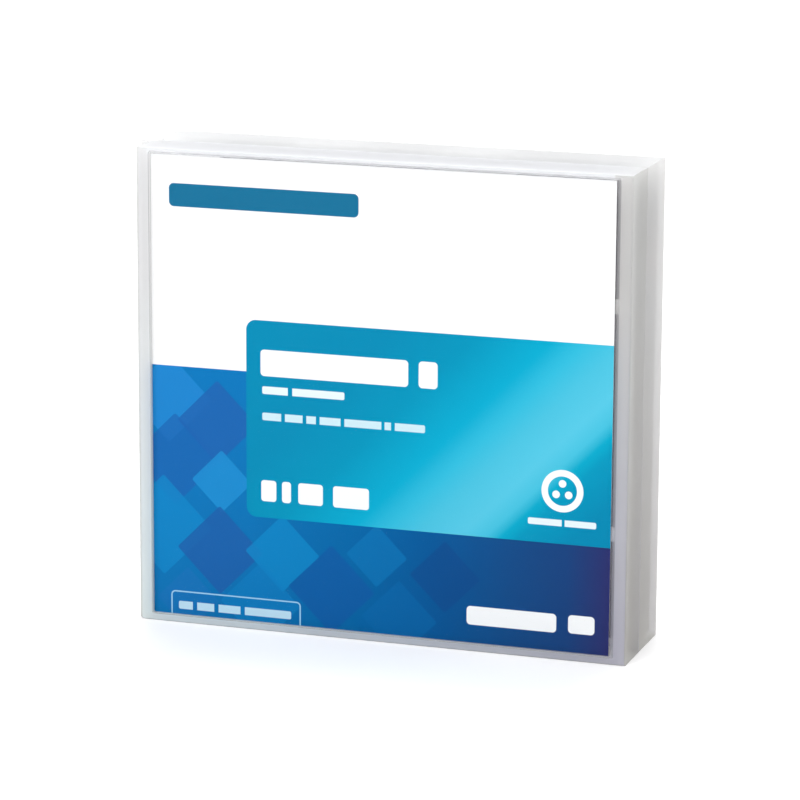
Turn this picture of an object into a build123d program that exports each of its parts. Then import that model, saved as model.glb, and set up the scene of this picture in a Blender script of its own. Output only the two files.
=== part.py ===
from build123d import *
import math
import os

# Half-inch data tape cartridge in its hinged storage case.
# Row frame: +Z up, X along the case's width, the lid's front at -Y.
# The case stands on its long edge, with the origin under the middle of its box.

os.makedirs("parts", exist_ok=True)

# Case body, and the room that it leaves round the cartridge
case_wall = 1.4
case_edge_radius = 0.5
case_corner_radius = 2.2
end_room = 3.6
hinge_side_room = 8.7
lid_room = 0.4
seam_drop = 9.0
seam_gap = 0.2

# Case hinge
knuckle_radius = 2.4
knuckle_gap = 0.3
hinge_outset = 0.2
hinge_pin_radius = 1.2
hinge_pin_length = 3.0
hinge_pin_clearance = 0.06
knuckle_end_shares = [0.0, 0.16, 0.40, 0.60, 0.84, 1.0]

# Tongue of the base, inside the lid
tongue_thickness = 1.1
tongue_reach = 2.2
tongue_root = 3.0
tongue_clearance = 0.15
tongue_start = 8.0
catch_length = 12.0
catch_height = 0.7
catch_depth = 1.0
catch_clearance = 0.2

# Card and its tabs
card_thickness = 0.3
card_gap = 0.05
card_right_margin = 2.8
card_left_margin = 1.8
card_end_margin = 0.15
tab_length = 3.4
tab_thickness = 0.8
tab_width = 3.2
tab_left_length = 2.6
tab_height_shares = [0.268, 0.733]

# Seating ribs of the base
rib_thickness = 1.2
seat_height = 2.1
seat_clearance = 0.15
seat_ring_radius = 24.0
seat_pad_length = 16.0
seat_pad_inset = 5.0
bracket_length = 19.0
bracket_place_shares = [-0.158, 0.139]
stop_place_shares = [0.25, 0.75]

# Cartridge body, made round its reel
cartridge_right_clearance = 0.25
cartridge_corner = 3.0
cartridge_edge_radius = 1.0
shell_floor = 1.5
shell_side = 1.6
shell_split_gap = 0.05
front_room = 3.4
label_inset = 0.4
label_margin = 2.25
label_width = 56.0
grip_count = 5
grip_pitch = 2.4
grip_groove = 1.0
grip_depth = 0.35
grip_from_rear = 16.0

# Locating holes in the cartridge's underside, and the arrow in its top
locating_rear_inset = 14.0
locating_side_inset = 4.2
locating_radius = 2.0
locating_wall = 1.0
locating_slot = 1.0
locating_depth = 3.0
arrow_front_inset = 13.0
arrow_radius = 4.5
arrow_depth = 0.4

# Screws
screw_rear_inset = 5.9
screw_front_inset = 4.5
screw_front_pitch = 48.0
screw_shank_radius = 1.1
screw_head_radius = 2.1
screw_head_height = 1.2
screw_length = 14.0
screw_clearance = 0.05
screw_sink = 1.0
boss_radius = 3.0
socket_radius = 0.9
socket_depth = 0.8

# Reel
tape_radius = 46.6
tape_width = 12.65
tape_thickness = 0.15
tape_exit_gap = 0.3
tape_edge_gap = 0.175
reel_offset = 1.3
flange_margin = 1.7
flange_thickness = 1.1
reel_lift = 2.3
reel_head_room = 2.5
hub_radius = 22.0
hub_bore_radius = 18.0
hub_floor_thickness = 1.6
hub_rim_wall = 1.6
weld_clearance = 0.05
weld_sink = 0.3
chamber_gap = 0.9
chamber_backing = 0.2
chamber_wall = 1.0
chamber_sweep = 66.0
chamber_starts = [12.0, 192.0, 282.0]

# Drive gear under the hub, and brake gear inside it
tooth_count = 60
gear_inner_radius = 13.7
gear_outer_radius = 16.9
tooth_height = 1.0
tooth_share = 0.56
tooth_taper = 14.0
drive_opening_radius = 18.4
drive_opening_rim = 1.2
drive_rim_height = 0.4
plate_inner_radius = 5.0
plate_outer_radius = 13.3
plate_thickness = 1.0
plate_clearance = 0.05
pedestal_height = 2.3
pedestal_sweep = 72.0
pedestal_turn = 60.0

# Release pad
pad_thickness = 1.5
pad_gap = 0.15
pad_leg_radius = 15.3
pad_leg_size = 3.0
pad_leg_clearance = 0.35
pad_triangle_radius = 19.0
leg_angles = [90.0, 210.0, 330.0]
leg_tooth_margin = 9.0

# Brake
brake_disc_radius = 17.2
brake_disc_thickness = 1.6
brake_mesh_gap = 0.2
brake_nose_radius = 3.0
brake_nose_gap = 0.2
brake_stem_radius = 6.2
brake_stem_room = 1.9
brake_key_length = 9.0
brake_key_width = 2.4
brake_key_depth = 5.6
brake_travel = 1.7
key_clearance = 0.3
key_gap = 0.5
brake_spring_wire = 1.0
brake_spring_radius = 8.2
brake_spring_turns = 4.0
spring_seat_gap = 0.1
spring_ring_gap = 0.4
spring_ring_wall = 1.0
spring_ring_height = 1.2

# Leader pin, its clamp and springs
pin_front_inset = 10.6
pin_side_inset = 8.4
pin_radius = 1.4
pin_neck_radius = 1.1
pin_neck_length = 0.6
pin_flange_radius = 2.8
pin_flange_thickness = 0.5
pin_head_radius = 2.2
pin_head_thickness = 0.75
pin_end_gap = 0.15
pin_tape_gap = 0.08
clamp_wall = 0.7
clamp_opening = 80.0
clamp_gap = 0.2
clamp_end_gap = 0.3
pin_seat_radius = 2.6
pin_seat_wall = 1.0
pin_seat_height = 0.8
pin_seat_opening = 90.0
pin_spring_wire = 0.5
pin_spring_reach = 3.0
pin_spring_gap = 0.12
pin_spring_post = 5.0
pin_post_radius = 1.2

# Access door
door_thickness = 1.2
door_gap = 0.2
door_opening = 15.0
door_opening_inset = 4.0
side_opening_base = 2.15
door_lap = 1.3
door_groove = 0.6
door_groove_gap = 0.15
door_recess_depth = 0.4
door_recess_radius = 2.4
door_travel = 15.0
door_lug_length = 1.5
door_lug_height = 4.0
door_spring_wire = 0.3
door_spring_radius = 1.0
door_spring_turns = 7.0
door_spring_length = 19.2
door_post_thickness = 1.0

# Write-protect tab
protect_inset = 15.0
protect_window_width = 9.0
protect_window_height = 5.0
protect_window_base = 3.2
protect_travel = 4.0
protect_knob_width = 4.5
protect_knob_inset = 0.5
protect_gap = 0.25
protect_body_depth = 2.6
protect_body_margin = 1.2
protect_guide_wall = 1.0
protect_guide_height = 7.0

# Memory chip
chip_length = 19.0
chip_width = 12.0
chip_thickness = 1.0
chip_front_gap = 1.4
chip_side_inset = 1.0
chip_floor_gap = 0.4
chip_gap = 0.1
chip_tilt = 45.0
cradle_wall = 1.0
cradle_place_shares = [0.2, 0.8]
cradle_share = 0.85

overrun = 1.0

# Worked-out sizes of the reel and of the cartridge round it
flange_radius = tape_radius + flange_margin
flange_top = reel_lift + flange_thickness
upper_flange_base = flange_top + tape_width + 2 * tape_edge_gap
chamber_radius = flange_radius + chamber_gap
ceiling = upper_flange_base + flange_thickness + reel_head_room
cartridge_thickness = ceiling + shell_floor
cartridge_width = 2 * (chamber_radius + chamber_backing + shell_side)
cartridge_length = cartridge_width + front_room
shell_split = cartridge_thickness / 2 - shell_split_gap

# Worked-out sizes of the case round the cartridge
case_width = (
    2 * case_wall
    + tongue_clearance
    + tongue_thickness
    + cartridge_right_clearance
    + cartridge_length
    + hinge_side_room
)
case_height = cartridge_width + 2 * (case_wall + end_room)
case_depth = (
    2 * case_wall
    + seat_height
    + cartridge_thickness
    + 2 * card_gap
    + card_thickness
    + tab_thickness
    + lid_room
)

# Worked-out places of the case
barrel_bulge = knuckle_radius + hinge_outset
box_width = case_width + barrel_bulge
case_left = -box_width / 2 + barrel_bulge
case_right = case_left + case_width
case_middle = (case_left + case_right) / 2
case_front = -case_depth / 2
case_back = case_depth / 2
hinge_x = case_left - hinge_outset
inner_left = case_left + case_wall
inner_right = case_right - case_wall
inner_top = case_height - case_wall
inner_width = inner_right - inner_left
inner_height = case_height - 2 * case_wall
card_front = case_front + case_wall + card_gap
card_back = card_front + card_thickness
card_right = inner_right - card_right_margin
card_left = inner_left + card_left_margin
cartridge_bottom = case_back - case_wall - seat_height
seam_y = cartridge_bottom - cartridge_thickness + seam_drop
lid_rim = seam_y - seam_gap / 2
base_rim = seam_y + seam_gap / 2

# Worked-out places of the cartridge
cartridge_right = inner_right - tongue_clearance - tongue_thickness - cartridge_right_clearance
cartridge_left = cartridge_right - cartridge_length
cartridge_x = cartridge_right - cartridge_length / 2
cartridge_z = case_height / 2
cartridge_low = cartridge_z - cartridge_width / 2
cartridge_high = cartridge_z + cartridge_width / 2
half_length = cartridge_length / 2
half_width = cartridge_width / 2
side_inner = half_width - shell_side
front_inner = half_length - shell_side

# Worked-out levels of the reel, from the cartridge's underside
hub_floor_base = reel_lift + plate_thickness
hub_floor_top = hub_floor_base + hub_floor_thickness
gear_tip = reel_lift - tooth_height
pad_base = hub_floor_top + pad_gap
pad_top = pad_base + pad_thickness
pedestal_top = hub_floor_top + pedestal_height
brake_base = pedestal_top + tooth_height + brake_mesh_gap
brake_top = brake_base + brake_disc_thickness
stem_top = ceiling - brake_travel - brake_stem_room
pin_u = -half_length + pin_front_inset
pin_v = half_width - pin_side_inset
tape_base = flange_top + tape_edge_gap
tape_top = tape_base + tape_width
pin_flange_top = tape_base - pin_tape_gap
pin_base = pin_flange_top - pin_flange_thickness - pin_neck_length - pin_head_thickness
pin_top = tape_base + tape_top - pin_base
keyway_base = stem_top - brake_key_depth
key_tip = keyway_base + brake_travel + key_gap
door_base = shell_floor - door_groove + door_groove_gap
door_top = cartridge_thickness - door_base
door_left = -half_length + door_opening_inset - door_lap
door_right = -half_length + door_opening_inset + door_opening + door_lap
door_outer = side_inner - door_gap
door_inner = door_outer - door_thickness
spring_v = door_outer - door_spring_radius - door_spring_wire / 2
spring_level = cartridge_thickness / 2
post_left = door_right + door_spring_length + 2 * spring_seat_gap
lug_inner = spring_v - door_spring_radius - door_spring_wire / 2
screw_head_base = screw_sink
screw_head_top = screw_head_base + screw_head_height
screw_places = [
    (half_length - screw_rear_inset, half_width - screw_rear_inset),
    (half_length - screw_rear_inset, screw_rear_inset - half_width),
    (-half_length + screw_front_inset, screw_front_pitch / 2),
    (-half_length + screw_front_inset, -screw_front_pitch / 2),
]
tooth_pitch = 360.0 / tooth_count
gear_middle_radius = (gear_inner_radius + gear_outer_radius) / 2
tooth_width = tooth_share * 2 * math.pi * gear_middle_radius / tooth_count
tooth_length = gear_outer_radius - gear_inner_radius
pedestal_angles = [angle - pedestal_turn for angle in leg_angles]


def front_facing_plane(depth, height=0):
    """A plane across the case at a depth, facing the lid's front."""
    return Plane(origin=(0, depth, height), x_dir=(1, 0, 0), z_dir=(0, -1, 0))


def cartridge_plane(level):
    """A plane in the cartridge, at a height over its underside, facing its top."""
    return Plane(
        origin=(cartridge_x, cartridge_bottom - level, cartridge_z),
        x_dir=(1, 0, 0),
        z_dir=(0, -1, 0),
    )


def reel_plane(level):
    """The same plane, with its origin on the reel's axis."""
    return Plane(
        origin=(cartridge_x + reel_offset, cartridge_bottom - level, cartridge_z),
        x_dir=(1, 0, 0),
        z_dir=(0, -1, 0),
    )


def pin_plane(level):
    """The same plane, with its origin on the leader pin's axis."""
    return Plane(
        origin=(cartridge_x + pin_u, cartridge_bottom - level, cartridge_z + pin_v),
        x_dir=(1, 0, 0),
        z_dir=(0, -1, 0),
    )


def section_plane():
    """A half plane through the reel's axis: radius along x, height in the cartridge along y."""
    return Plane(
        origin=(cartridge_x + reel_offset, cartridge_bottom, cartridge_z),
        x_dir=(1, 0, 0),
        z_dir=(0, 0, -1),
    )


reel_axis = Axis((cartridge_x + reel_offset, cartridge_bottom, cartridge_z), (0, -1, 0))


def cartridge_box(low, high, mode=Mode.ADD):
    """A box between two corners given along the cartridge's length, width and thickness."""
    corner_box(
        (cartridge_x + low[0], cartridge_bottom - high[2], cartridge_z + low[1]),
        (cartridge_x + high[0], cartridge_bottom - low[2], cartridge_z + high[1]),
        mode=mode,
    )


def ring_of_teeth(level, height, angles):
    """Tapered radial teeth of a face gear, which start at a level and point up or down."""
    with BuildSketch(reel_plane(level)) as roots:
        for angle in angles:
            with PolarLocations(gear_middle_radius, 1, start_angle=angle):
                Rectangle(tooth_length, tooth_width)
    extrude(roots.sketch, amount=height, taper=tooth_taper)


def ring_sector(inner, outer, start, sweep):
    """A face between two arcs about the sketch's origin."""
    with BuildLine() as outline:
        near = CenterArc((0, 0), inner, start, sweep)
        far = CenterArc((0, 0), outer, start, sweep)
        Line(near @ 0, far @ 0)
        Line(near @ 1, far @ 1)
    make_face(outline.edges())


def corner_box(low, high, mode=Mode.ADD):
    """A box between two opposite corners."""
    size = [b - a for a, b in zip(low, high)]
    with Locations(tuple(low)):
        Box(*size, align=(Align.MIN, Align.MIN, Align.MIN), mode=mode)


def write_piece(piece, name):
    """Labels a finished piece and writes its file."""
    piece.part.label = name
    export_step(piece.part, f"parts/{name}.step")


# Hinge levels
knuckle_ends = [share * case_height for share in knuckle_end_shares]
base_knuckles = [(knuckle_ends[i], knuckle_ends[i + 1]) for i in (0, 2, 4)]
lid_knuckles = [(knuckle_ends[i] + knuckle_gap, knuckle_ends[i + 1] - knuckle_gap) for i in (1, 3)]


def knuckle(low, high, toward):
    """One hinge barrel with the web that joins it to its own wall."""
    web_depth = knuckle_radius + knuckle_gap + case_wall / 2
    with BuildSketch(Plane.XY.offset(low)) as profile:
        with Locations((hinge_x, seam_y)):
            Circle(knuckle_radius)
        with Locations((case_left + case_wall / 2, seam_y + toward * web_depth / 2)):
            Rectangle(case_wall, web_depth)
    extrude(profile.sketch, amount=high - low)


# Case base: a tray with its rim at the seam
with BuildPart() as case_base:
    with BuildSketch(Plane.XY):
        with Locations((case_left, base_rim)):
            Rectangle(case_width, case_back - base_rim, align=(Align.MIN, Align.MIN))
        fillet(vertices().group_by(Axis.Y)[-1].sort_by(Axis.X)[0], case_corner_radius)
    extrude(amount=case_height)
    fillet(faces().sort_by(Axis.Y)[-1].edges(), case_edge_radius)
    with BuildSketch(Plane.XY.offset(case_wall)):
        with Locations((inner_left, base_rim - overrun)):
            Rectangle(
                inner_width,
                case_back - case_wall - base_rim + overrun,
                align=(Align.MIN, Align.MIN),
            )
        fillet(
            vertices().group_by(Axis.Y)[-1].sort_by(Axis.X)[0], case_corner_radius - case_wall
        )
    extrude(amount=inner_height, mode=Mode.SUBTRACT)

    # Tongue along the top, the right and the bottom, its root thickening the wall
    tongue_right = inner_right - tongue_clearance
    tongue_low = case_wall + tongue_clearance
    tongue_high = inner_top - tongue_clearance
    tongue_left = inner_left + tongue_start
    with BuildSketch(front_facing_plane(base_rim + tongue_root)):
        with Locations((tongue_left, case_wall)):
            Rectangle(inner_right - tongue_left, inner_height, align=(Align.MIN, Align.MIN))
        with Locations((tongue_left - overrun, tongue_low + tongue_thickness)):
            Rectangle(
                tongue_right - tongue_thickness - tongue_left + overrun,
                tongue_high - tongue_low - 2 * tongue_thickness,
                align=(Align.MIN, Align.MIN),
                mode=Mode.SUBTRACT,
            )
    extrude(amount=tongue_root)
    with BuildSketch(front_facing_plane(base_rim)):
        with Locations((tongue_left, tongue_low)):
            Rectangle(
                tongue_right - tongue_left, tongue_high - tongue_low, align=(Align.MIN, Align.MIN)
            )
        with Locations((tongue_left - overrun, tongue_low + tongue_thickness)):
            Rectangle(
                tongue_right - tongue_thickness - tongue_left + overrun,
                tongue_high - tongue_low - 2 * tongue_thickness,
                align=(Align.MIN, Align.MIN),
                mode=Mode.SUBTRACT,
            )
    extrude(amount=tongue_reach + seam_gap)

    # Window in the tongue for the lid's catch
    catch_window_low = case_height / 2 - catch_length / 2 - catch_clearance
    corner_box(
        (
            tongue_right - catch_height - catch_clearance,
            base_rim - tongue_reach - overrun,
            catch_window_low,
        ),
        (
            tongue_right + tongue_clearance / 2,
            base_rim,
            catch_window_low + catch_length + 2 * catch_clearance,
        ),
        mode=Mode.SUBTRACT,
    )

    # Seats under the cartridge: a ring round its drive opening and a cross in each corner
    with BuildSketch(reel_plane(-seat_height)):
        Circle(seat_ring_radius)
        Circle(seat_ring_radius - rib_thickness, mode=Mode.SUBTRACT)
    extrude(amount=seat_height)
    pad_pitch_x = cartridge_length - 2 * seat_pad_inset - seat_pad_length
    pad_pitch_z = cartridge_width - 2 * seat_pad_inset - seat_pad_length
    with BuildSketch(cartridge_plane(-seat_height)):
        with GridLocations(pad_pitch_x, pad_pitch_z, 2, 2):
            Rectangle(seat_pad_length, rib_thickness)
            Rectangle(rib_thickness, seat_pad_length)
    extrude(amount=seat_height)

    # Brackets above and below the cartridge, and two stops at its left
    bracket_front = base_rim + tongue_root
    for share in bracket_place_shares:
        bracket_x = case_middle + share * case_width
        for low, high in (
            (case_wall, cartridge_low - seat_clearance),
            (cartridge_high + seat_clearance, inner_top),
        ):
            corner_box(
                (bracket_x - bracket_length / 2, bracket_front, low),
                (bracket_x + bracket_length / 2, case_back - case_wall, high),
            )
            hollow_low = case_wall if low == case_wall else low + rib_thickness
            hollow_high = inner_top if high == inner_top else high - rib_thickness
            corner_box(
                (bracket_x - bracket_length / 2 + rib_thickness, bracket_front - overrun, hollow_low),
                (bracket_x + bracket_length / 2 - rib_thickness, case_back - case_wall, hollow_high),
                mode=Mode.SUBTRACT,
            )
    for share in stop_place_shares:
        stop_z = share * case_height
        corner_box(
            (inner_left, bracket_front, stop_z - rib_thickness / 2),
            (cartridge_left - seat_clearance, case_back - case_wall, stop_z + rib_thickness / 2),
        )

    # Room for the lid's barrels, then the base's own, with a socket for each pin
    with BuildSketch(Plane.XY):
        with Locations((hinge_x, seam_y)):
            Circle(knuckle_radius + knuckle_gap)
    extrude(amount=case_height, mode=Mode.SUBTRACT)
    for low, high in base_knuckles:
        knuckle(low, high, 1)
    for low, high in lid_knuckles:
        socket_depth = hinge_pin_length + 2 * knuckle_gap
        for start in (low - socket_depth, high):
            with BuildSketch(Plane.XY.offset(start)):
                with Locations((hinge_x, seam_y)):
                    Circle(hinge_pin_radius + hinge_pin_clearance)
            extrude(amount=socket_depth, mode=Mode.SUBTRACT)

write_piece(case_base, "case_base")


# Case lid: the front tray, clear front wall and card tabs
with BuildPart() as case_lid:
    with BuildSketch(Plane.XY):
        with Locations((case_left, case_front)):
            Rectangle(case_width, lid_rim - case_front, align=(Align.MIN, Align.MIN))
        fillet(vertices().group_by(Axis.Y)[0].sort_by(Axis.X)[0], case_corner_radius)
    extrude(amount=case_height)
    fillet(faces().sort_by(Axis.Y)[0].edges(), case_edge_radius)
    with BuildSketch(Plane.XY.offset(case_wall)):
        with Locations((inner_left, case_front + case_wall)):
            Rectangle(
                inner_width, lid_rim - case_front - case_wall + overrun, align=(Align.MIN, Align.MIN)
            )
        fillet(
            vertices().group_by(Axis.Y)[0].sort_by(Axis.X)[0], case_corner_radius - case_wall
        )
    extrude(amount=inner_height, mode=Mode.SUBTRACT)

    # Tabs that hold the card from behind, with rounded tips
    tab_front = card_back + card_gap
    for share in tab_height_shares:
        with BuildSketch(front_facing_plane(tab_front + tab_thickness, share * case_height)):
            with Locations((inner_right - tab_length / 2, 0)):
                Rectangle(tab_length, tab_width)
            with Locations((inner_right - tab_length, 0)):
                Circle(tab_width / 2)
            with Locations((inner_left + tab_left_length / 2, 0)):
                Rectangle(tab_left_length, tab_width)
            with Locations((inner_left + tab_left_length, 0)):
                Circle(tab_width / 2)
        extrude(amount=tab_thickness)

    # Catch on the right wall
    corner_box(
        (
            inner_right - tongue_clearance - catch_height,
            lid_rim - tongue_reach + catch_clearance,
            case_height / 2 - catch_length / 2,
        ),
        (
            inner_right,
            lid_rim - tongue_reach + catch_clearance + catch_depth,
            case_height / 2 + catch_length / 2,
        ),
    )

    # Room for the base's barrels, then the lid's own with a pin at each end
    with BuildSketch(Plane.XY):
        with Locations((hinge_x, seam_y)):
            Circle(knuckle_radius + knuckle_gap)
    extrude(amount=case_height, mode=Mode.SUBTRACT)
    for low, high in lid_knuckles:
        knuckle(low, high, -1)
        pin_reach = hinge_pin_length + knuckle_gap
        with BuildSketch(Plane.XY.offset(low - pin_reach)):
            with Locations((hinge_x, seam_y)):
                Circle(hinge_pin_radius)
        extrude(amount=high - low + 2 * pin_reach)

write_piece(case_lid, "case_lid")


# Printed card
with BuildPart() as cover_card:
    corner_box(
        (card_left, card_front, case_wall + card_end_margin),
        (card_right, card_back, inner_top - card_end_margin),
    )

write_piece(cover_card, "cover_card")


# Lower shell of the cartridge
with BuildPart() as lower_shell:
    with BuildSketch(cartridge_plane(0)):
        RectangleRounded(cartridge_length, cartridge_width, cartridge_corner)
    extrude(amount=shell_split)
    fillet(faces().sort_by(Axis.Y)[-1].edges(), cartridge_edge_radius)
    with BuildSketch(cartridge_plane(shell_floor)):
        RectangleRounded(2 * front_inner, 2 * side_inner, cartridge_corner - shell_side)
    extrude(amount=shell_split, mode=Mode.SUBTRACT)

    # Reel chamber walls in three corners, and screw bosses
    with BuildSketch(reel_plane(shell_floor)):
        for start in chamber_starts:
            ring_sector(chamber_radius, chamber_radius + chamber_wall, start, chamber_sweep)
    extrude(amount=shell_split - shell_floor)
    with BuildSketch(cartridge_plane(0)):
        with Locations(*screw_places):
            Circle(boss_radius)
    extrude(amount=shell_split)

    # Opening for the drive, with a raised rim
    with BuildSketch(reel_plane(0)):
        Circle(drive_opening_radius + drive_opening_rim)
    extrude(amount=shell_floor + drive_rim_height)
    with BuildSketch(reel_plane(0)):
        Circle(drive_opening_radius)
    extrude(amount=shell_floor + drive_rim_height, mode=Mode.SUBTRACT)

    # Screw holes with their counterbores
    with BuildSketch(cartridge_plane(0)):
        with Locations(*screw_places):
            Circle(screw_shank_radius + screw_clearance)
    extrude(amount=shell_split, mode=Mode.SUBTRACT)
    with BuildSketch(cartridge_plane(0)):
        with Locations(*screw_places):
            Circle(screw_head_radius + screw_clearance)
    extrude(amount=screw_head_top + screw_clearance, mode=Mode.SUBTRACT)

    # Blind locating holes near the rear corners, one round and one oblong, each in its boss
    locating_u = half_length - locating_rear_inset
    locating_v = half_width - locating_side_inset
    boss_start = shell_floor / 2
    with BuildSketch(cartridge_plane(boss_start)):
        with Locations((locating_u, locating_v)):
            Circle(locating_radius + locating_wall)
        with Locations((locating_u, -locating_v)):
            SlotCenterToCenter(locating_slot, 2 * (locating_radius + locating_wall), rotation=90)
    extrude(amount=locating_depth + boss_start)
    with BuildSketch(cartridge_plane(0)):
        with Locations((locating_u, locating_v)):
            Circle(locating_radius)
        with Locations((locating_u, -locating_v)):
            SlotCenterToCenter(locating_slot, 2 * locating_radius, rotation=90)
    extrude(amount=locating_depth, mode=Mode.SUBTRACT)

    # Seat and spring post of the leader pin
    with BuildSketch(pin_plane(shell_floor)):
        ring_sector(
            pin_seat_radius,
            pin_seat_radius + pin_seat_wall,
            90.0 + pin_seat_opening / 2,
            360.0 - pin_seat_opening,
        )
    extrude(amount=pin_seat_height)
    with BuildSketch(pin_plane(shell_floor)):
        with Locations((0, -pin_spring_post)):
            Circle(pin_post_radius)
    extrude(amount=pin_flange_top - shell_floor)

    # Door: its opening in the side wall, its groove, and the post for its spring
    cartridge_box(
        (-half_length + door_opening_inset, side_inner - overrun, side_opening_base),
        (-half_length + door_opening_inset + door_opening, half_width + overrun, shell_split + overrun),
        mode=Mode.SUBTRACT,
    )
    cartridge_box(
        (
            door_left - door_groove_gap,
            door_inner - door_groove_gap,
            shell_floor - door_groove,
        ),
        (
            door_right + door_travel + door_groove_gap,
            door_outer + door_groove_gap,
            shell_floor + overrun / 2,
        ),
        mode=Mode.SUBTRACT,
    )
    cartridge_box(
        (post_left, lug_inner, shell_floor - door_groove),
        (post_left + door_post_thickness, side_inner, shell_split),
    )

    # Window, stops and guide of the write-protect tab
    protect_v = half_width - protect_inset
    protect_body_width = protect_knob_width + 2 * protect_body_margin
    protect_body_low = protect_v - protect_window_width / 2 + protect_gap - protect_body_margin
    cartridge_box(
        (front_inner - overrun, protect_v - protect_window_width / 2, protect_window_base),
        (
            half_length + overrun,
            protect_v + protect_window_width / 2,
            protect_window_base + protect_window_height,
        ),
        mode=Mode.SUBTRACT,
    )
    guide_u = front_inner - protect_body_depth - 2 * protect_gap
    cartridge_box(
        (guide_u - protect_guide_wall, protect_body_low - protect_guide_wall, shell_floor),
        (
            guide_u,
            protect_body_low + protect_body_width + protect_travel + protect_guide_wall,
            shell_floor + protect_guide_height,
        ),
    )
    for stop_v in (
        protect_body_low - protect_gap - protect_guide_wall,
        protect_body_low + protect_body_width + protect_travel + protect_gap,
    ):
        cartridge_box(
            (guide_u - protect_guide_wall, stop_v, shell_floor),
            (front_inner, stop_v + protect_guide_wall, shell_floor + protect_guide_height),
        )

    # Cradle under the tilted chip
    chip_rise = chip_width * math.sin(math.radians(chip_tilt))
    chip_run = chip_width * math.cos(math.radians(chip_tilt))
    chip_low_v = -side_inner + chip_side_inset
    chip_lower_u = -front_inner + chip_front_gap + chip_run
    chip_lower_level = shell_floor + chip_floor_gap
    cradle_u = chip_lower_u - chip_gap * math.cos(math.radians(chip_tilt))
    cradle_level = chip_lower_level - chip_gap * math.sin(math.radians(chip_tilt))
    cradle_back_u = cradle_u - cradle_share * chip_run
    cradle_back_level = cradle_level + cradle_share * chip_rise
    for share in cradle_place_shares:
        cradle_v = chip_low_v + share * chip_length
        with BuildSketch(
            Plane(
                origin=(cartridge_x, cartridge_bottom, cartridge_z + cradle_v - cradle_wall / 2),
                x_dir=(1, 0, 0),
                z_dir=(0, 0, 1),
            )
        ):
            with BuildLine():
                Polyline(
                    (-front_inner - shell_side / 2, -shell_floor / 2),
                    (cradle_u, -shell_floor / 2),
                    (cradle_u, -cradle_level),
                    (cradle_back_u, -cradle_back_level),
                    (-front_inner - shell_side / 2, -cradle_back_level),
                    close=True,
                )
            make_face()
        extrude(amount=cradle_wall)

    # Grip grooves in both sides, and the label's recess in the rear edge
    for place in range(grip_count):
        groove_u = half_length - grip_from_rear - place * grip_pitch
        for low_v in (-half_width - overrun, half_width - grip_depth):
            cartridge_box(
                (groove_u - grip_groove / 2, low_v, side_opening_base),
                (groove_u + grip_groove / 2, low_v + overrun + grip_depth, shell_split + overrun),
                mode=Mode.SUBTRACT,
            )
    cartridge_box(
        (half_length - label_inset, -label_width / 2, label_margin),
        (half_length + overrun, label_width / 2, shell_split + overrun),
        mode=Mode.SUBTRACT,
    )

write_piece(lower_shell, "lower_shell")


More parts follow.
